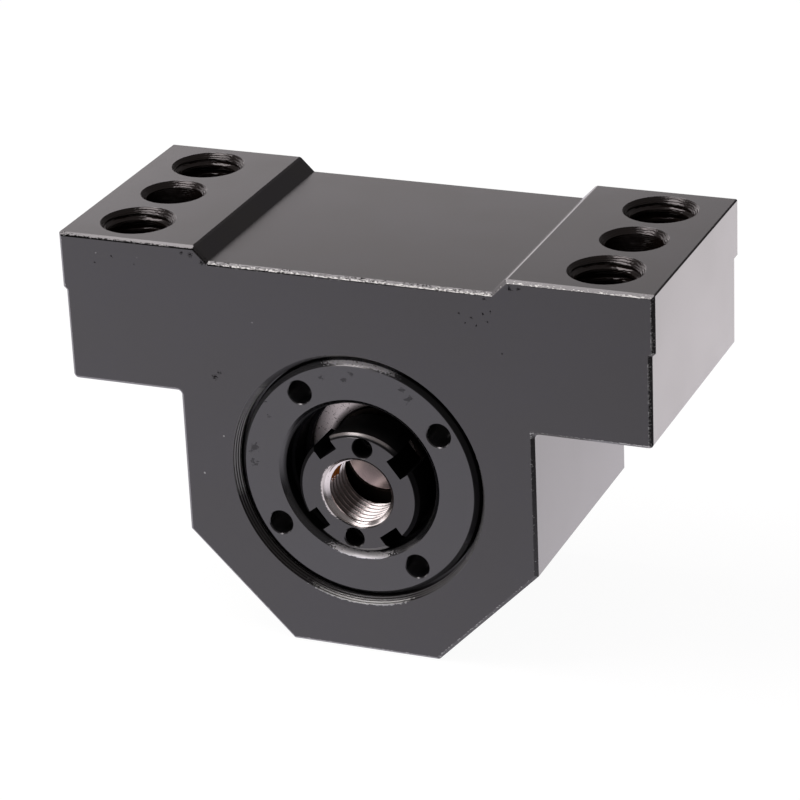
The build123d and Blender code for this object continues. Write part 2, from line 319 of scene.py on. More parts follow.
# Fine uneven noise from about 0 to 1. Its patches run lengthwise along X, as scratches on the worn edges do.
def raggedNoise(tree, place, grain):
    along = addNode(tree, "ShaderNodeVectorMath", {"operation": "MULTIPLY"}, {
        0: place, 1: patchSet["squeeze"],
    }).outputs[0]
    noise = addNode(tree, "ShaderNodeTexNoise", {}, {
        "Vector": along, "Scale": 1 / grain, "Detail": patchSet["detail"], "Roughness": patchSet["roughness"],
    }).outputs["Fac"]
    return addNode(tree, "ShaderNodeMapRange", {}, {
        "Value": noise, "From Min": patchSet["noise"][0], "From Max": patchSet["noise"][1],
    }).outputs[0]


# A weight from 0 to 1 turned into patches with ragged edges: at 0 nothing, at 1 nearly all
def raggedShare(tree, weight, ragged):
    total = addNode(tree, "ShaderNodeMath", {"operation": "MULTIPLY_ADD"}, {
        0: weight, 1: patchSet["gain"], 2: ragged,
    }).outputs[0]
    return addNode(tree, "ShaderNodeMapRange", {}, {
        "Value": total, "From Min": patchSet["edge"][0], "From Max": patchSet["edge"][1],
    }).outputs[0]


# A weight that falls away around each of these spots
def spotWeight(tree, place, spots, y):
    weight = 0.0
    for x, z, size in spots:
        off = addNode(tree, "ShaderNodeVectorMath", {"operation": "DISTANCE"}, {
            0: place, 1: (x, y, z),
        }).outputs["Value"]
        near = addNode(tree, "ShaderNodeMapRange", {}, {
            "Value": off, "From Min": 0, "From Max": size, "To Min": patchSet["spotPeak"], "To Max": 0.0,
        }).outputs[0]
        weight = addNode(tree, "ShaderNodeMath", {"operation": "MAXIMUM"}, {0: weight, 1: near}).outputs[0]
    return weight


# What the pieces in black oxide share
oxideSet = {
    "cloudDetail": 3.0, "cloudRoughness": 0.55, "cloudRange": (0.4, 0.62), "grainDetail": 2.0,
    "nearBlackRoughness": 0.7,
}


# Black oxide: steel with a thin boiled-on layer of magnetite under a film of oil. It is near black, with
# clouds of violet and brown, and a satin gloss that turns grey where it mirrors something pale.
# Bright steel shows where it is rubbed through, and in places stands in as a painted highlight. Pits, dry
# soot and painted shade send nothing back.
def blackenedSteel(name, look, bareAndHighlightShare=None, nearBlackShare=None, holeShare=None, cutMarks=None):
    material, tree, surface = newMaterial(name)
    place = millimetres(tree)
    cloud = addNode(tree, "ShaderNodeTexNoise", {}, {
        "Vector": place, "Scale": 1 / look["cloud"],
        "Detail": oxideSet["cloudDetail"], "Roughness": oxideSet["cloudRoughness"],
    }).outputs["Fac"]
    cloud = addNode(tree, "ShaderNodeMapRange", {}, {
        "Value": cloud, "From Min": oxideSet["cloudRange"][0], "From Max": oxideSet["cloudRange"][1],
    }).outputs[0]
    grain = addNode(tree, "ShaderNodeTexNoise", {}, {
        "Vector": place, "Scale": 1 / look["grain"], "Detail": oxideSet["grainDetail"],
    }).outputs["Fac"]
    colour = addNode(tree, "ShaderNodeMix", {"data_type": "RGBA"}, {
        0: cloud, 6: linearColour(look["violet"]), 7: linearColour(look["brown"]),
    }).outputs[2]
    roughness = addNode(tree, "ShaderNodeMapRange", {}, {
        "Value": cloud, "To Min": look["roughness"] - look["unevenness"],
        "To Max": look["roughness"] + look["unevenness"],
    }).outputs[0]
    metal = 0.0
    if holeShare:
        hole = holeShare(tree, place)
        colour = addNode(tree, "ShaderNodeMix", {"data_type": "RGBA"}, {
            0: hole, 6: colour, 7: linearColour(look["holeWall"]),
        }).outputs[2]
        roughness = addNode(tree, "ShaderNodeMix", {}, {
            0: hole, 2: roughness, 3: look["holeRoughness"],
        }).outputs[0]
        # In the holes a share of dark metal is painted shade
        metal = addNode(tree, "ShaderNodeMath", {"operation": "MULTIPLY"}, {
            0: hole, 1: look["holeShade"],
        }).outputs[0]
    # Bare steel: real wear, and in places a painted highlight
    if bareAndHighlightShare:
        bareAndHighlight = bareAndHighlightShare(tree, place)
        metal = addNode(tree, "ShaderNodeMath", {"operation": "MAXIMUM"}, {0: metal, 1: bareAndHighlight}).outputs[0]
        colour = addNode(tree, "ShaderNodeMix", {"data_type": "RGBA"}, {
            0: bareAndHighlight, 6: colour, 7: linearColour(look["steel"]),
        }).outputs[2]
        roughness = addNode(tree, "ShaderNodeMix", {}, {
            0: bareAndHighlight, 2: roughness, 3: look["steelRoughness"],
        }).outputs[0]
    # Near black metal: soot and pits, and painted shade where parts lie in shadow
    if nearBlackShare:
        nearBlack = nearBlackShare(tree, place)
        metal = addNode(tree, "ShaderNodeMath", {"operation": "MAXIMUM"}, {0: metal, 1: nearBlack}).outputs[0]
        colour = addNode(tree, "ShaderNodeMix", {"data_type": "RGBA"}, {
            0: nearBlack, 6: colour, 7: linearColour(look["nearBlack"]),
        }).outputs[2]
        roughness = addNode(tree, "ShaderNodeMix", {}, {
            0: nearBlack, 2: roughness, 3: oxideSet["nearBlackRoughness"],
        }).outputs[0]
    if bareAndHighlightShare or nearBlackShare:
        tree.links.new(metal, surface.inputs["Metallic"])
    bump = addNode(tree, "ShaderNodeBump", {}, {
        "Height": grain, "Strength": 1.0, "Distance": look["grainDepth"] * mm,
    }).outputs[0]
    if cutMarks:
        bump = addNode(tree, "ShaderNodeBump", {}, {
            "Height": cutMarks(tree, place), "Strength": 1.0, "Distance": look["markDepth"] * mm,
            "Normal": bump,
        }).outputs[0]
    tree.links.new(colour, surface.inputs["Base Color"])
    tree.links.new(roughness, surface.inputs["Roughness"])
    tree.links.new(bump, surface.inputs["Normal"])
    surface.inputs["IOR"].default_value = look["ior"]
    return material


housingSet = {
    "violet": "#19171A", "brown": "#1B1917", "cloud": 16, "grain": 0.3, "grainDepth": 0.0004,
    "roughness": 0.19, "unevenness": 0.02, "ior": 1.85,
    "steel": "#ABACA9", "steelRoughness": 0.4, "nearBlack": "#090808",
    "padInner": 33, "recess": 3, "earBottom": 53, "edgeBottom": 73, "edgeStep": 0.7,
    "bodyHalf": 38, "noseCut": 22, "chamfer": 0.7,
    "wearGrain": 0.4, "wearRun": 7, "leastRun": 0.5, "leftWear": 0.35, "wearReach": 0.9, "wearPeak": 0.8,
    "flankWear": 0.62, "flankFade": (-1.5, -0.5), "faceFalloff": 4.0, "gapEdge": 0.1,
    "mouthR": (27.35, 27.25), "mouthDepth": 1.9,
    "rubR": (27.85, 27.25), "rubDepth": (1.05, 0.75), "rubSector": (254, 284, 14),
    "flatSector": (140, 190, 5), "lineSectors": ((-30, 100, 15), (250, 288, 6)), "lineEdges": (0.2, 0.8),
    "flareShare": 0.5, "markPitch": 0.4, "markDepth": 0.02, "mouthPitch": 0.5, "mouthMarks": 3,
    "waveGrain": 1.5, "waveShift": 0.5,
    "sootGrain": 0.22, "sootMargin": (0.1, 0.05), "gapSoot": 0.4, "endRun": 9, "endSoot": 0.5,
    # The line under the top chamfer is painted shadow
    "shadowLineRun": 6, "shadowLineReach": 0.5,
    "pits": (
        (23.3, 77.1, 0.6), (25.8, 76.4, 0.7), (28.3, 77.5, 0.6), (26.8, 74.8, 0.6), (29.8, 78.1, 0.5),
        (29.1, 75.9, 0.6), (24.5, 75.2, 0.5), (32.0, 69.5, 0.4), (-55.1, 79.3, 0.5), (-51.3, 81.0, 0.6),
        (-46.3, 79.9, 0.4), (-30.0, 57.2, 1.3), (-29.0, 58.2, 0.9), (-33.7, 83.2, 1.2), (-35.6, 83.4, 0.9),
        (-31.2, 81.7, 1.2), (33.9, 83.4, 1.2), (35.7, 83.5, 0.9), (28.6, 80.6, 0.8),
    ),
    "dust": (
        (-33.8, 35.4, 0.5), (-28.9, 44.3, 0.5), (-45.5, 81.4, 0.4), (-54.7, 81.3, 0.4), (-21.0, 70.0, 0.3),
    ),
    "holes": tuple((x * boltX, y * boltY) for x in (-1, 1) for y in (-1, 1)) + ((-boltX, 0), (boltX, 0)),
    # Inside the holes a share of dark metal is painted shade, so that the walls mirror less
    "holeR": 8.2, "holeRim": (0.02, 0.1), "holeWall": "#1F1713", "holeRoughness": 0.19, "holeShade": 0.45,
}


# How far a point of the front face lies inside the block's outline, and how far below the top line
def insideOutline(tree, axes):
    block = housingSet
    side = addNode(tree, "ShaderNodeMath", {"operation": "ABSOLUTE"}, {0: axes["X"]}).outputs[0]
    topLine = addNode(tree, "ShaderNodeMapRange", {}, {
        "Value": side, "From Min": block["padInner"] - block["recess"], "From Max": block["padInner"],
        "To Min": topZ - block["recess"], "To Max": topZ,
    }).outputs[0]
    below = addNode(tree, "ShaderNodeMath", {"operation": "SUBTRACT"}, {0: topLine, 1: axes["Z"]}).outputs[0]
    sideLine = addNode(tree, "ShaderNodeMapRange", {}, {
        "Value": axes["Z"], "From Min": block["edgeBottom"] - block["edgeStep"],
        "From Max": block["edgeBottom"], "To Min": halfWidth - block["edgeStep"], "To Max": halfWidth,
    }).outputs[0]
    toSide = addNode(tree, "ShaderNodeMath", {"operation": "SUBTRACT"}, {0: sideLine, 1: side}).outputs[0]
    toFoot = addNode(tree, "ShaderNodeMath", {"operation": "SUBTRACT"}, {
        0: axes["Z"], 1: block["earBottom"],
    }).outputs[0]
    inEar = addNode(tree, "ShaderNodeMath", {"operation": "MINIMUM"}, {0: toSide, 1: toFoot}).outputs[0]
    toFlank = addNode(tree, "ShaderNodeMath", {"operation": "SUBTRACT"}, {
        0: block["bodyHalf"], 1: side,
    }).outputs[0]
    overCut = addNode(tree, "ShaderNodeMath", {"operation": "ADD"}, {0: toFlank, 1: axes["Z"]}).outputs[0]
    toCut = addNode(tree, "ShaderNodeMath", {"operation": "MULTIPLY_ADD"}, {
        0: overCut, 1: math.sqrt(0.5), 2: -block["noseCut"] * math.sqrt(0.5),
    }).outputs[0]
    inNose = addNode(tree, "ShaderNodeMath", {"operation": "MINIMUM"}, {0: toCut, 1: axes["Z"]}).outputs[0]
    inBody = addNode(tree, "ShaderNodeMath", {"operation": "MINIMUM"}, {0: toFlank, 1: inNose}).outputs[0]
    inside = addNode(tree, "ShaderNodeMath", {"operation": "MAXIMUM"}, {0: inEar, 1: inBody}).outputs[0]
    return addNode(tree, "ShaderNodeMath", {"operation": "MINIMUM"}, {0: below, 1: inside}).outputs[0], below


# Share of the flared mouth of the bore
def mouthShare(tree, place):
    block = housingSet
    depth = addNode(tree, "ShaderNodeSeparateXYZ", {}, {0: place}).outputs["Y"]
    shallow = addNode(tree, "ShaderNodeMath", {"operation": "LESS_THAN"}, {
        0: depth, 1: frontY + block["mouthDepth"],
    }).outputs[0]
    within = addNode(tree, "ShaderNodeMapRange", {}, {
        "Value": radiusFrom(tree, place, boreZ),
        "From Min": block["mouthR"][0], "From Max": block["mouthR"][1],
    }).outputs[0]
    return addNode(tree, "ShaderNodeMath", {"operation": "MULTIPLY"}, {0: within, 1: shallow}).outputs[0]


# Bright steel: a ragged line where the front face meets its chamfer, stronger toward the right, and the
# bottom of the bore's mouth, where rings have been put in and taken out. Tool rings in the mouth are bright
# steel only in two sectors, painted highlights where they catch light, and the mouth's left is bare steel, a
# painted reflection as grey as the face.
def housingBareAndHighlight(tree, place):
    block = housingSet
    axes = addNode(tree, "ShaderNodeSeparateXYZ", {}, {0: place}).outputs
    toOutline, _ = insideOutline(tree, axes)
    behind = addNode(tree, "ShaderNodeMath", {"operation": "SUBTRACT"}, {0: axes["Y"], 1: frontY}).outputs[0]
    ragged = raggedNoise(tree, place, block["wearGrain"])
    run = raggedNoise(tree, place, block["wearRun"])
    rightward = addNode(tree, "ShaderNodeMapRange", {}, {
        "Value": axes["X"], "From Min": -halfWidth, "From Max": halfWidth, "To Min": block["leftWear"],
    }).outputs[0]
    side = addNode(tree, "ShaderNodeMath", {"operation": "ABSOLUTE"}, {0: axes["X"]}).outputs[0]
    between = addNode(tree, "ShaderNodeMapRange", {}, {
        "Value": side, "From Min": block["padInner"] - block["recess"] + block["gapEdge"],
        "From Max": block["padInner"] - block["recess"] - block["gapEdge"],
    }).outputs[0]
    offLine = addNode(tree, "ShaderNodeMath", {"operation": "SUBTRACT"}, {
        0: toOutline, 1: block["chamfer"],
    }).outputs[0]
    onFace = addNode(tree, "ShaderNodeMath", {"operation": "MULTIPLY"}, {
        0: offLine, 1: block["faceFalloff"],
    }).outputs[0]
    offLine = addNode(tree, "ShaderNodeMath", {"operation": "ABSOLUTE"}, {0: offLine}).outputs[0]
    offLine = addNode(tree, "ShaderNodeMath", {"operation": "MAXIMUM"}, {0: offLine, 1: onFace}).outputs[0]
    offEdge = addNode(tree, "ShaderNodeMath", {"operation": "MAXIMUM"}, {0: offLine, 1: behind}).outputs[0]
    near = addNode(tree, "ShaderNodeMapRange", {}, {
        "Value": offEdge, "From Min": 0, "From Max": block["wearReach"],
        "To Min": block["wearPeak"], "To Max": 0.0,
    }).outputs[0]
    strength = addNode(tree, "ShaderNodeMath", {"operation": "MULTIPLY_ADD"}, {
        0: run, 1: 1 - block["leastRun"], 2: block["leastRun"],
    }).outputs[0]
    strength = addNode(tree, "ShaderNodeMath", {"operation": "MULTIPLY"}, {
        0: strength, 1: rightward,
    }).outputs[0]
    strength = addNode(tree, "ShaderNodeMath", {"operation": "MAXIMUM"}, {0: strength, 1: between}).outputs[0]
    weight = addNode(tree, "ShaderNodeMath", {"operation": "MULTIPLY"}, {0: near, 1: strength}).outputs[0]
    belowEars = addNode(tree, "ShaderNodeMapRange", {}, {
        "Value": axes["Z"], "From Min": block["earBottom"] + block["flankFade"][0],
        "From Max": block["earBottom"] + block["flankFade"][1], "To Min": block["flankWear"], "To Max": 1.0,
    }).outputs[0]
    weight = addNode(tree, "ShaderNodeMath", {"operation": "MULTIPLY"}, {0: weight, 1: belowEars}).outputs[0]

    rubbed = rubbedShare(tree, place, behind, block)
    weight = addNode(tree, "ShaderNodeMath", {"operation": "MAXIMUM"}, {0: weight, 1: rubbed}).outputs[0]
    dusty = spotWeight(tree, place, block["dust"], frontY)
    weight = addNode(tree, "ShaderNodeMath", {"operation": "MAXIMUM"}, {0: weight, 1: dusty}).outputs[0]
    steelMarks = raggedShare(tree, weight, ragged)

    # Tool rings on the mouth, bright steel only in two sectors: painted highlights where the rings catch
    # light
    rings = addNode(tree, "ShaderNodeMapRange", {}, {
        "Value": waveAlong(tree, behind, block["markPitch"]),
        "From Min": block["lineEdges"][0], "From Max": block["lineEdges"][1],
    }).outputs[0]
    onFlare = addNode(tree, "ShaderNodeMath", {"operation": "MULTIPLY"}, {
        0: mouthShare(tree, place), 1: block["flareShare"],
    }).outputs[0]
    rings = addNode(tree, "ShaderNodeMath", {"operation": "MULTIPLY"}, {0: rings, 1: onFlare}).outputs[0]
    lined = addNode(tree, "ShaderNodeMath", {"operation": "MAXIMUM"}, {
        0: sectorShare(tree, place, boreZ, block["lineSectors"][0]),
        1: sectorShare(tree, place, boreZ, block["lineSectors"][1]),
    }).outputs[0]
    rings = addNode(tree, "ShaderNodeMath", {"operation": "MULTIPLY"}, {0: rings, 1: lined}).outputs[0]
    # The mouth's left is bare steel, a painted reflection that keeps it as grey as the face
    flat = addNode(tree, "ShaderNodeMath", {"operation": "MULTIPLY"}, {
        0: onFlare, 1: sectorShare(tree, place, boreZ, block["flatSector"]),
    }).outputs[0]
    marks = addNode(tree, "ShaderNodeMath", {"operation": "MAXIMUM"}, {0: rings, 1: flat}).outputs[0]
    return addNode(tree, "ShaderNodeMath", {"operation": "MAXIMUM"}, {0: steelMarks, 1: marks}).outputs[0]


# Soot and painted shadow: a thin line of painted shadow under the top chamfer, widest toward the left, rough
# sooty specks on that chamfer between the pads and at its left end, and pits in the front face
def housingSootAndShade(tree, place):
    block = housingSet
    axes = addNode(tree, "ShaderNodeSeparateXYZ", {}, {0: place}).outputs
    _, below = insideOutline(tree, axes)
    behind = addNode(tree, "ShaderNodeMath", {"operation": "SUBTRACT"}, {0: axes["Y"], 1: frontY}).outputs[0]
    onChamfer = addNode(tree, "ShaderNodeMath", {"operation": "LESS_THAN"}, {
        0: below, 1: block["chamfer"] + block["sootMargin"][0],
    }).outputs[0]
    onChamfer = addNode(tree, "ShaderNodeMath", {"operation": "MULTIPLY"}, {
        0: onChamfer, 1: addNode(tree, "ShaderNodeMath", {"operation": "LESS_THAN"}, {
            0: behind, 1: block["chamfer"] + block["sootMargin"][1],
        }).outputs[0],
    }).outputs[0]
    side = addNode(tree, "ShaderNodeMath", {"operation": "ABSOLUTE"}, {0: axes["X"]}).outputs[0]
    between = addNode(tree, "ShaderNodeMapRange", {}, {
        "Value": side, "From Min": block["padInner"], "From Max": block["padInner"] - block["recess"],
        "To Max": block["gapSoot"],
    }).outputs[0]
    outward = addNode(tree, "ShaderNodeMapRange", {}, {
        "Value": axes["X"], "From Min": -halfWidth + block["endRun"], "From Max": -halfWidth,
        "To Max": block["endSoot"],
    }).outputs[0]
    fine = raggedNoise(tree, place, block["sootGrain"])
    speck = raggedShare(tree, addNode(tree, "ShaderNodeMath", {"operation": "MAXIMUM"}, {
        0: between, 1: outward,
    }).outputs[0], fine)
    # Painted shadow: a ragged dark line along the chamfer's lower edge, reaching farther at the left
    shadowLineReach = addNode(tree, "ShaderNodeMapRange", {}, {
        "Value": axes["X"], "From Min": -halfWidth + block["shadowLineRun"], "From Max": block["padInner"],
        "To Min": block["shadowLineReach"], "To Max": 0.0,
    }).outputs[0]
    shadowLine = addNode(tree, "ShaderNodeMath", {"operation": "LESS_THAN"}, {
        0: behind, 1: addNode(tree, "ShaderNodeMath", {"operation": "MULTIPLY"}, {
            0: fine, 1: shadowLineReach,
        }).outputs[0],
    }).outputs[0]
    either = addNode(tree, "ShaderNodeMath", {"operation": "MAXIMUM"}, {0: speck, 1: shadowLine}).outputs[0]
    either = addNode(tree, "ShaderNodeMath", {"operation": "MULTIPLY"}, {0: either, 1: onChamfer}).outputs[0]
    pitted = raggedShare(tree, spotWeight(tree, place, block["pits"], frontY), fine)
    return addNode(tree, "ShaderNodeMath", {"operation": "MAXIMUM"}, {0: either, 1: pitted}).outputs[0]


# Inside the bolt and dowel holes the oxide is brown over tool marks, and a share of dark metal there is
# painted shade, so that it mirrors less
def housingHoles(tree, place):
    block = housingSet
    flat = addNode(tree, "ShaderNodeVectorMath", {"operation": "MULTIPLY"}, {
        0: place, 1: (1, 1, 0),
    }).outputs[0]
    nearest = 1000.0  # farther off than any hole
    for x, y in block["holes"]:
        off = addNode(tree, "ShaderNodeVectorMath", {"operation": "DISTANCE"}, {
            0: flat, 1: (x, y, 0),
        }).outputs["Value"]
        nearest = addNode(tree, "ShaderNodeMath", {"operation": "MINIMUM"}, {0: nearest, 1: off}).outputs[0]
    within = addNode(tree, "ShaderNodeMath", {"operation": "LESS_THAN"}, {
        0: nearest, 1: block["holeR"],
    }).outputs[0]
    height = addNode(tree, "ShaderNodeSeparateXYZ", {}, {0: place}).outputs["Z"]
    under = addNode(tree, "ShaderNodeMapRange", {}, {
        "Value": height, "From Min": topZ - block["holeRim"][0], "From Max": topZ - block["holeRim"][1],
    }).outputs[0]
    return addNode(tree, "ShaderNodeMath", {"operation": "MULTIPLY"}, {0: within, 1: under}).outputs[0]


# Uneven rings that the countersink left on the walls of the holes, and deeper ones in the mouth of the bore
def housingCuts(tree, place):
    block = housingSet
    height = addNode(tree, "ShaderNodeSeparateXYZ", {}, {0: place}).outputs["Z"]
    shift = addNode(tree, "ShaderNodeTexNoise", {}, {
        "Vector": place, "Scale": 1 / block["waveGrain"], "Detail": 1.0,
    }).outputs["Fac"]
    height = addNode(tree, "ShaderNodeMath", {"operation": "MULTIPLY_ADD"}, {
        0: shift, 1: block["waveShift"], 2: height,
    }).outputs[0]
    inHoles = addNode(tree, "ShaderNodeMath", {"operation": "MULTIPLY"}, {
        0: waveAlong(tree, height, block["markPitch"]), 1: housingHoles(tree, place),
    }).outputs[0]
    depth = addNode(tree, "ShaderNodeSeparateXYZ", {}, {0: place}).outputs["Y"]
    deepRings = addNode(tree, "ShaderNodeMath", {"operation": "MULTIPLY"}, {
        0: mouthShare(tree, place), 1: block["mouthMarks"],
    }).outputs[0]
    return addNode(tree, "ShaderNodeMath", {"operation": "MULTIPLY_ADD"}, {
        0: waveAlong(tree, depth, block["mouthPitch"]), 1: deepRings, 2: inHoles,
    }).outputs[0]


ringSet = {
    "violet": "#17181B", "brown": "#191919", "cloud": 12, "grain": 0.3, "grainDepth": 0.0004,
    "roughness": 0.19, "unevenness": 0.02, "ior": 1.95, "steel": "#DEDEDF", "steelRoughness": 0.42,
    "nearBlack": "#1C1C1D", "rubR": (17.8, 17.3), "rubDepth": (1.5, 0.7), "rubSector": (258, 280, 20),
    # The black rim at the right and the near black inside the bore are painted shade
    "wearGrain": 0.3, "innerR": 17.1, "innerDepth": (0.5, 1.6), "innerShade": 0.93,
    # The bright rim at the top is a painted highlight
    "highlightRim": {"edge": (24.6, 25.1), "share": 0.8, "sector": (74, 100, 10)},
    "shadedRim": {"edge": (24.75, 24.85), "share": 0.8, "sector": (-20, 66, 8)},
    "smudgeGrain": 0.6, "smudgeShare": 0.45, "smudges": (
        (-7.2, 59.6, 1.6), (11.5, 57.1, 2.0), (-22.5, 42.1, 2.4), (-0.7, 61.0, 1.2), (-18.9, 49.9, 1.2),
        (-2.3, 59.6, 1.2), (10.2, 58.9, 1.2), (-22.9, 39.0, 1.8), (-19.6, 52.6, 1.0),
    ),
}
nutSet = {
    "violet": "#181618", "brown": "#1B1817", "cloud": 9, "grain": 0.25, "grainDepth": 0.0004,
    "roughness": 0.21, "unevenness": 0.02, "ior": 1.85, "steel": "#D8D2CE", "steelRoughness": 0.22,
    "nearBlack": "#1C1C1D", "boreR": (7.56, 7.51), "mouthR": (8.45, 7.8), "mouthSector": (150, 215, 30),
    "wearGrain": 0.3,
    # The near black on the nut's sides, slots, screw holes and chamfer is painted shade
    "nearBlackShare": 0.95, "shadeR": 7.81, "sideDepth": (0.8, 0.95), "chamferDepth": (0.03, 0.12),
    # The top of the nut's rim is bare steel as a painted highlight
    "topHighlightRim": {"edge": (12.5, 12.7), "share": 0.4, "sector": (62, 112, 8)},
    "litRim": {"edge": (12.4, 12.6), "share": 1.0, "sector": (62, 112, 12)}, "plainRim": (225, 305, 12),
}
screwSet = {
    "violet": "#121212", "brown": "#141312", "cloud": 3, "grain": 0.2, "grainDepth": 0.001,
    "roughness": 0.35, "unevenness": 0.04, "ior": 1.6,
}


# The bottom of the ring's mouth is rubbed bright, and the top of its rim is bare steel as a painted highlight
def ringBareAndHighlight(tree, place):
    look = ringSet
    depth = addNode(tree, "ShaderNodeSeparateXYZ", {}, {0: place}).outputs["Y"]
    behind = addNode(tree, "ShaderNodeMath", {"operation": "SUBTRACT"}, {0: depth, 1: ringFaceY}).outputs[0]
    weight = addNode(tree, "ShaderNodeMath", {"operation": "MAXIMUM"}, {
        0: rubbedShare(tree, place, behind, look), 1: rimShare(tree, place, boreZ, look["highlightRim"]),
    }).outputs[0]
    return raggedShare(tree, weight, raggedNoise(tree, place, look["wearGrain"]))


# Sooty smudges on the ring's face, and painted shade: a black rim at the right and a near black inside the
# bore
def ringSmudgesAndShade(tree, place):
    look = ringSet
    spots = spotWeight(tree, place, look["smudges"], ringFaceY)
    smudged = raggedShare(tree, spots, raggedNoise(tree, place, look["smudgeGrain"]))
    smudged = addNode(tree, "ShaderNodeMath", {"operation": "MULTIPLY"}, {
        0: smudged, 1: look["smudgeShare"],
    }).outputs[0]
    radius = radiusFrom(tree, place, boreZ)
    depth = addNode(tree, "ShaderNodeSeparateXYZ", {}, {0: place}).outputs["Y"]
    deep = addNode(tree, "ShaderNodeMapRange", {}, {
        "Value": depth, "From Min": ringFaceY + look["innerDepth"][0],
        "From Max": ringFaceY + look["innerDepth"][1], "To Max": look["innerShade"],
    }).outputs[0]
    inner = addNode(tree, "ShaderNodeMath", {"operation": "LESS_THAN"}, {
        0: radius, 1: look["innerR"],
    }).outputs[0]
    inside = addNode(tree, "ShaderNodeMath", {"operation": "MULTIPLY"}, {0: deep, 1: inner}).outputs[0]
    black = addNode(tree, "ShaderNodeMath", {"operation": "MAXIMUM"}, {
        0: inside, 1: rimShare(tree, place, boreZ, look["shadedRim"]),
    }).outputs[0]
    return addNode(tree, "ShaderNodeMath", {"operation": "MAXIMUM"}, {0: smudged, 1: black}).outputs[0]


# The nut's thread is cut after blackening, so its bore is bare. The left of its mouth is worn, and the top of
# its rim is bare steel as a painted highlight.
def nutBareAndHighlight(tree, place):
    look = nutSet
    radius = radiusFrom(tree, place, nutZ)
    inBore = addNode(tree, "ShaderNodeMapRange", {}, {
        "Value": radius, "From Min": look["boreR"][0], "From Max": look["boreR"][1],
    }).outputs[0]
    near = addNode(tree, "ShaderNodeMapRange", {}, {
        "Value": radius, "From Min": look["mouthR"][0], "From Max": look["mouthR"][1],
    }).outputs[0]
    steelMarks = addNode(tree, "ShaderNodeMath", {"operation": "MULTIPLY"}, {
        0: near, 1: sectorShare(tree, place, nutZ, look["mouthSector"]),
    }).outputs[0]
    steelMarks = raggedShare(tree, steelMarks, raggedNoise(tree, place, look["wearGrain"]))
    # The top of the rim: bare steel as a painted highlight
    steelMarks = addNode(tree, "ShaderNodeMath", {"operation": "MAXIMUM"}, {
        0: steelMarks, 1: rimShare(tree, place, nutZ, look["topHighlightRim"]),
    }).outputs[0]
    return addNode(tree, "ShaderNodeMath", {"operation": "MAXIMUM"}, {0: inBore, 1: steelMarks}).outputs[0]


# Painted shade: the nut's sides, slots and screw holes are near black, and so is its chamfer, but for the
# outer half at the top, left for its highlight, and all of it at the bottom.
def nutShade(tree, place):
    look = nutSet
    depth = addNode(tree, "ShaderNodeSeparateXYZ", {}, {0: place}).outputs["Y"]
    behind = addNode(tree, "ShaderNodeMath", {"operation": "SUBTRACT"}, {0: depth, 1: nutFrontY}).outputs[0]
    deep = addNode(tree, "ShaderNodeMapRange", {}, {
        "Value": behind, "From Min": look["sideDepth"][0], "From Max": look["sideDepth"][1],
        "To Max": look["nearBlackShare"],
    }).outputs[0]
    outside = addNode(tree, "ShaderNodeMath", {"operation": "GREATER_THAN"}, {
        0: radiusFrom(tree, place, nutZ), 1: look["shadeR"],
    }).outputs[0]
    deep = addNode(tree, "ShaderNodeMath", {"operation": "MULTIPLY"}, {0: deep, 1: outside}).outputs[0]
    onChamfer = addNode(tree, "ShaderNodeMapRange", {}, {
        "Value": behind, "From Min": look["chamferDepth"][0], "From Max": look["chamferDepth"][1],
        "To Max": look["nearBlackShare"],
    }).outputs[0]
    onChamfer = addNode(tree, "ShaderNodeMath", {"operation": "MULTIPLY"}, {
        0: onChamfer, 1: outside,
    }).outputs[0]
    lit = addNode(tree, "ShaderNodeMath", {"operation": "MAXIMUM"}, {
        0: rimShare(tree, place, nutZ, look["litRim"]), 1: sectorShare(tree, place, nutZ, look["plainRim"]),
    }).outputs[0]
    onChamfer = addNode(tree, "ShaderNodeMix", {}, {0: lit, 2: onChamfer, 3: 0.0}).outputs[0]
    return addNode(tree, "ShaderNodeMath", {"operation": "MAXIMUM"}, {0: deep, 1: onChamfer}).outputs[0]


# What the bare metals share
bareGrainSet = {"detail": 3.0, "speckEdge": 0.06, "unevenness": 0.06}


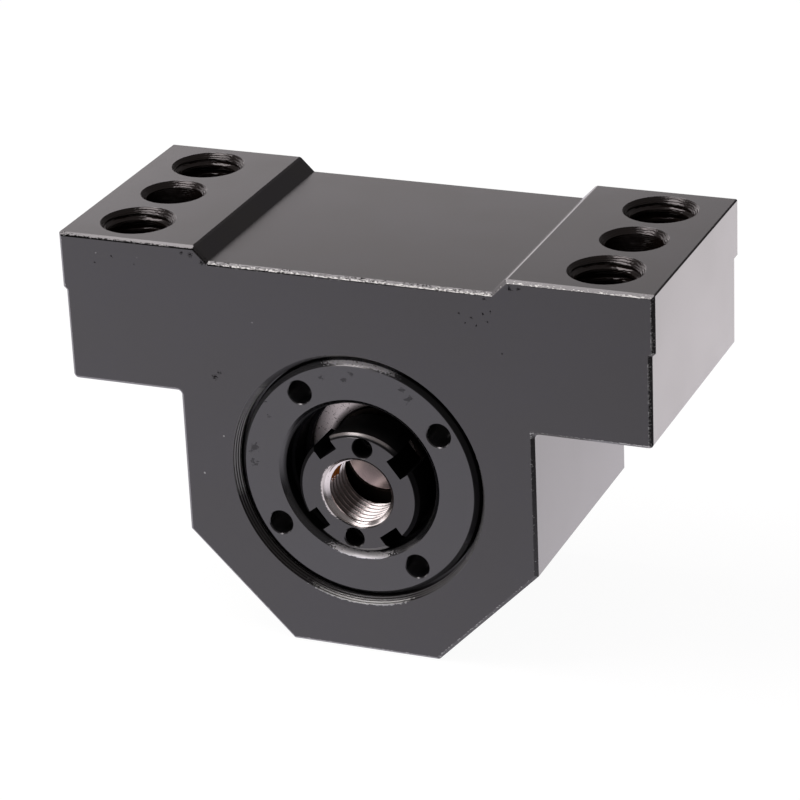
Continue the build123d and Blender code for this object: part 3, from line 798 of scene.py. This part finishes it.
# Metals left bare: ground, turned or polished steel and bright sheet. The colour is what light they
# return, and fine marks along the cut blur it. Part of some is darkened: rust and a brown film on the nut's
# thread, painted shadow on the shield, and the bearing's front and a painted dark spot in its bore.
def bareMetal(name, look, darkeningShare=None):
    material, tree, surface = newMaterial(name)
    place = millimetres(tree)
    grain = addNode(tree, "ShaderNodeTexNoise", {}, {
        "Vector": place, "Scale": 1 / look["grain"], "Detail": bareGrainSet["detail"],
    }).outputs["Fac"]
    speck = addNode(tree, "ShaderNodeMapRange", {}, {
        "Value": grain, "From Min": look["speckFrom"],
        "From Max": look["speckFrom"] + bareGrainSet["speckEdge"],
    }).outputs[0]
    colour = addNode(tree, "ShaderNodeMix", {"data_type": "RGBA"}, {
        0: speck, 6: linearColour(look["colour"]), 7: linearColour(look["speck"]),
    }).outputs[2]
    roughness = addNode(tree, "ShaderNodeMapRange", {}, {
        "Value": grain, "To Min": look["roughness"] - bareGrainSet["unevenness"],
        "To Max": look["roughness"] + bareGrainSet["unevenness"],
    }).outputs[0]
    if darkeningShare:
        darkening, darkeningColour = darkeningShare(tree, place)
        colour = addNode(tree, "ShaderNodeMix", {"data_type": "RGBA"}, {
            0: darkening, 6: colour, 7: darkeningColour,
        }).outputs[2]
        roughness = addNode(tree, "ShaderNodeMix", {}, {
            0: darkening, 2: roughness, 3: look["darkeningRoughness"],
        }).outputs[0]
    bump = addNode(tree, "ShaderNodeBump", {}, {
        "Height": grain, "Strength": 1.0, "Distance": look["grainDepth"] * mm,
    }).outputs[0]
    tree.links.new(colour, surface.inputs["Base Color"])
    tree.links.new(roughness, surface.inputs["Roughness"])
    tree.links.new(bump, surface.inputs["Normal"])
    surface.inputs["Metallic"].default_value = 1.0
    return material


bareSet = {
    "ground_bearing_steel": {
        "colour": "#CFC4C1", "speck": "#A59A96", "speckFrom": 0.66, "grain": 0.25, "grainDepth": 0.0006,
        "roughness": 0.25, "darkening": "#2E2926", "darkeningRoughness": 0.5, "darkDepth": 4, "darkInnerR": 7.55,
        # The dark spot deep in the bore is painted shade
        "shadeSpot": (-1.8, 6.8, 30.8), "shadeSpotSize": 4.4,
    },
    "polished_ball_steel": {
        "colour": "#D2D2D4", "speck": "#BDBDC0", "speckFrom": 0.7, "grain": 0.4, "grainDepth": 0.0001,
        "roughness": 0.08,
    },
    "zinc_shield": {
        "colour": "#E2DAD6", "speck": "#8A7F79", "speckFrom": 0.6, "grain": 0.3, "grainDepth": 0.0015,
        # The shield's dark share is painted shadow
        "roughness": 0.34, "darkening": "#242220", "darkeningRoughness": 0.5, "shadowFrom": 12.1, "shadowTo": 10.6,
        "litSector": (122, 175, 25),
    },
    "nut_thread": {
        "colour": "#F4EEEB", "speck": "#8E817B", "speckFrom": 0.66, "grain": 0.3, "grainDepth": 0.0008,
        "roughness": 0.2, "darkening": "#3B2D26", "rust": "#6E3C13", "darkeningRoughness": 0.4,
        "rustSector": (122, 168, 15), "rustDepth": (1.6, 7.5), "rustEdges": (0.3, 1.5), "rustGrain": 0.6,
        "dullSector": (178, 238, 12), "dullShare": 0.85,
    },
}
cageSet = {"colour": "#B7A67C", "patch": "#C2B28A", "grain": 1.2, "roughness": 0.5}


# Painted shadow on the shield: dark toward its inner edge beside the nut, and on all of it but its upper
# left, which stays lit
def shieldShadow(tree, place):
    look = bareSet["zinc_shield"]
    inner = addNode(tree, "ShaderNodeMapRange", {}, {
        "Value": radiusFrom(tree, place, boreZ), "From Min": look["shadowFrom"], "From Max": look["shadowTo"],
    }).outputs[0]
    clear = sectorShare(tree, place, boreZ, look["litSector"])
    shaded = addNode(tree, "ShaderNodeMath", {"operation": "SUBTRACT"}, {0: 1.0, 1: clear}).outputs[0]
    share = addNode(tree, "ShaderNodeMath", {"operation": "MAXIMUM"}, {0: inner, 1: shaded}).outputs[0]
    return share, linearColour(look["darkening"])


# The front of the bearing's rings, out from the bore, is darkened, and a dark spot deep in the bore is
# painted shade
def bearingDarkening(tree, place):
    look = bareSet["ground_bearing_steel"]
    depth = addNode(tree, "ShaderNodeSeparateXYZ", {}, {0: place}).outputs["Y"]
    front = addNode(tree, "ShaderNodeMath", {"operation": "LESS_THAN"}, {
        0: depth, 1: bearingFrontY + look["darkDepth"],
    }).outputs[0]
    outside = addNode(tree, "ShaderNodeMath", {"operation": "GREATER_THAN"}, {
        0: radiusFrom(tree, place, boreZ), 1: look["darkInnerR"],
    }).outputs[0]
    share = addNode(tree, "ShaderNodeMath", {"operation": "MULTIPLY"}, {0: front, 1: outside}).outputs[0]
    off = addNode(tree, "ShaderNodeVectorMath", {"operation": "DISTANCE"}, {
        0: place, 1: look["shadeSpot"],
    }).outputs["Value"]
    shadeSpot = addNode(tree, "ShaderNodeMapRange", {}, {
        "Value": off, "From Min": look["shadeSpotSize"], "From Max": look["shadeSpotSize"] / 2,
    }).outputs[0]
    share = addNode(tree, "ShaderNodeMath", {"operation": "MAXIMUM"}, {0: share, 1: shadeSpot}).outputs[0]
    return share, linearColour(look["darkening"])


# A patch of rust on the first turns of the nut's thread, and a brown film down its left side
def threadRust(tree, place):
    look = bareSet["nut_thread"]
    depth = addNode(tree, "ShaderNodeSeparateXYZ", {}, {0: place}).outputs["Y"]
    behind = addNode(tree, "ShaderNodeMath", {"operation": "SUBTRACT"}, {0: depth, 1: nutFrontY}).outputs[0]
    start, end = look["rustDepth"]
    startEdge, endEdge = look["rustEdges"]
    past = addNode(tree, "ShaderNodeMapRange", {}, {
        "Value": behind, "From Min": start - startEdge, "From Max": start + startEdge,
    }).outputs[0]
    before = addNode(tree, "ShaderNodeMapRange", {}, {
        "Value": behind, "From Min": end, "From Max": end - endEdge,
    }).outputs[0]
    inDepth = addNode(tree, "ShaderNodeMath", {"operation": "MULTIPLY"}, {0: past, 1: before}).outputs[0]
    weight = addNode(tree, "ShaderNodeMath", {"operation": "MULTIPLY"}, {
        0: inDepth, 1: sectorShare(tree, place, nutZ, look["rustSector"]),
    }).outputs[0]
    rust = raggedShare(tree, weight, raggedNoise(tree, place, look["rustGrain"]))
    dull = addNode(tree, "ShaderNodeMath", {"operation": "MULTIPLY"}, {
        0: past, 1: sectorShare(tree, place, nutZ, look["dullSector"]),
    }).outputs[0]
    dull = addNode(tree, "ShaderNodeMath", {"operation": "MULTIPLY"}, {
        0: dull, 1: look["dullShare"],
    }).outputs[0]
    share = addNode(tree, "ShaderNodeMath", {"operation": "MAXIMUM"}, {0: rust, 1: dull}).outputs[0]
    colour = addNode(tree, "ShaderNodeMix", {"data_type": "RGBA"}, {
        0: rust, 6: linearColour(look["darkening"]), 7: linearColour(look["rust"]),
    }).outputs[2]
    return share, colour


# Moulded polyamide: cream, dull and faintly uneven
def mouldedPolyamide(look):
    material, tree, surface = newMaterial("mouldedPolyamide")
    place = millimetres(tree)
    grain = addNode(tree, "ShaderNodeTexNoise", {}, {
        "Vector": place, "Scale": 1 / look["grain"],
    }).outputs["Fac"]
    colour = addNode(tree, "ShaderNodeMix", {"data_type": "RGBA"}, {
        0: grain, 6: linearColour(look["colour"]), 7: linearColour(look["patch"]),
    }).outputs[2]
    tree.links.new(colour, surface.inputs["Base Color"])
    surface.inputs["Roughness"].default_value = look["roughness"]
    return material


slotMaterials = {
    "black_oxide_housing": blackenedSteel(
        "blackOxideBlock", housingSet, housingBareAndHighlight, housingSootAndShade, housingHoles, housingCuts,
    ),
    "black_oxide_ring": blackenedSteel("blackOxideRing", ringSet, ringBareAndHighlight, ringSmudgesAndShade),
    "black_oxide_nut": blackenedSteel("blackOxideNut", nutSet, nutBareAndHighlight, nutShade),
    "black_screw": blackenedSteel("blackScrew", screwSet),
    "ground_bearing_steel": bareMetal("groundBearingSteel", bareSet["ground_bearing_steel"], bearingDarkening),
    "polished_ball_steel": bareMetal("polishedBallSteel", bareSet["polished_ball_steel"]),
    "zinc_shield": bareMetal("brightSheetSteel", bareSet["zinc_shield"], shieldShadow),
    "moulded_cage": mouldedPolyamide(cageSet),
}
for subpart in frame["record"]["subparts"]:
    node = frame["nodes"][subpart["node"]]
    node.data.materials.clear()
    node.data.materials.append(slotMaterials[subpart["material_slot"]])
print("materials given")


# Internal threads. The block's holes have the thread's major diameter, and these ridges stand on them.
threadForm = {"flankAngle": 30, "footShare": 7 / 16, "crestShare": 1 / 8, "flankCuts": 4, "sharpAngle": 25}
boltThreadSet = {
    "majorD": 14, "minorD": 11.835, "pitch": 2, "length": 32, "stepsPerTurn": 72, "bite": 0.05,
    "mouthD": 15.5, "endD": 15,
}
nutThreadSet = {
    "majorD": 15, "minorD": 13.376, "pitch": 1.5, "length": nutRearY - nutFrontY, "stepsPerTurn": 96,
    "bite": 0.03, "mouthD": 15.52, "endD": 15.52,
}


# The ridge is a flat-topped V on a helix, cut back by the cones at the two mouths of the hole.
# It is made along Z from its mouth down, then turned and carried to its place.
def addThread(name, thread, turn, mouthPlace, body, material):
    pitch, bite = thread["pitch"], thread["bite"]
    foot, crest = thread["majorD"] / 2 + bite, thread["minorD"] / 2
    halfFoot = pitch * threadForm["footShare"] + bite * math.tan(math.radians(threadForm["flankAngle"]))
    halfCrest = pitch * threadForm["crestShare"]
    turns = thread["length"] / pitch + 1
    steps = round(turns * thread["stepsPerTurn"])
    bm = bmesh.new()
    section = [(foot, -halfFoot), (crest, -halfCrest), (crest, halfCrest), (foot, halfFoot)]
    corners = [bm.verts.new((r, 0, z - pitch / 2)) for r, z in section]
    edges = [bm.edges.new((corners[i - 1], corners[i])) for i in range(len(corners))]
    flanks = [edges[1], edges[3]]
    bmesh.ops.subdivide_edges(bm, edges=flanks, cuts=threadForm["flankCuts"])
    bmesh.ops.spin(
        bm, geom=bm.verts[:] + bm.edges[:], cent=(0, 0, 0), axis=(0, 0, 1),
        dvec=(0, 0, turns * pitch / steps), angle=math.tau * turns, steps=steps,
    )
    openEdges = [edge for edge in bm.edges if edge.is_boundary]
    bmesh.ops.holes_fill(bm, edges=openEdges, sides=0)
    for vert in bm.verts:
        depth = min(max(vert.co.z, bite), thread["length"] - bite)
        fromMouth = thread["mouthD"] / 2 - depth
        fromEnd = thread["endD"] / 2 - (thread["length"] - depth)
        radius = vert.co.xy.length
        cut = max(radius, fromMouth + bite, fromEnd + bite)
        vert.co = (vert.co.x * cut / radius, vert.co.y * cut / radius, depth)
    bmesh.ops.recalc_face_normals(bm, faces=bm.faces)
    bmesh.ops.transform(bm, matrix=Matrix.Translation(mouthPlace) @ turn, verts=bm.verts)
    bmesh.ops.scale(bm, vec=(mm, mm, mm), verts=bm.verts)
    mesh = bpy.data.meshes.new(name)
    bm.to_mesh(mesh)
    bm.free()
    for face in mesh.polygons:
        face.use_smooth = True
    mesh.set_sharp_from_angle(angle=math.radians(threadForm["sharpAngle"]))
    mesh.materials.append(material)
    piece = bpy.data.objects.new(name, mesh)
    bpy.context.scene.collection.objects.link(piece)
    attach(piece, body)


downward = Matrix.Rotation(math.pi, 4, "X")
intoNut = Matrix.Rotation(-math.pi / 2, 4, "X")
for sideName, x in (("left", -boltX), ("right", boltX)):
    for endName, y in (("front", -boltY), ("rear", boltY)):
        addThread(
            f"bolt_thread_{sideName}_{endName}", boltThreadSet, downward, Vector((x, y, topZ)), "housing",
            slotMaterials["black_oxide_housing"],
        )
addThread(
    "nut_thread_turns", nutThreadSet, intoNut, Vector((0, nutFrontY, nutZ)), "housing",
    bareMetal("cutThreadSteel", bareSet["nut_thread"], threadRust),
)
print("threads cut")
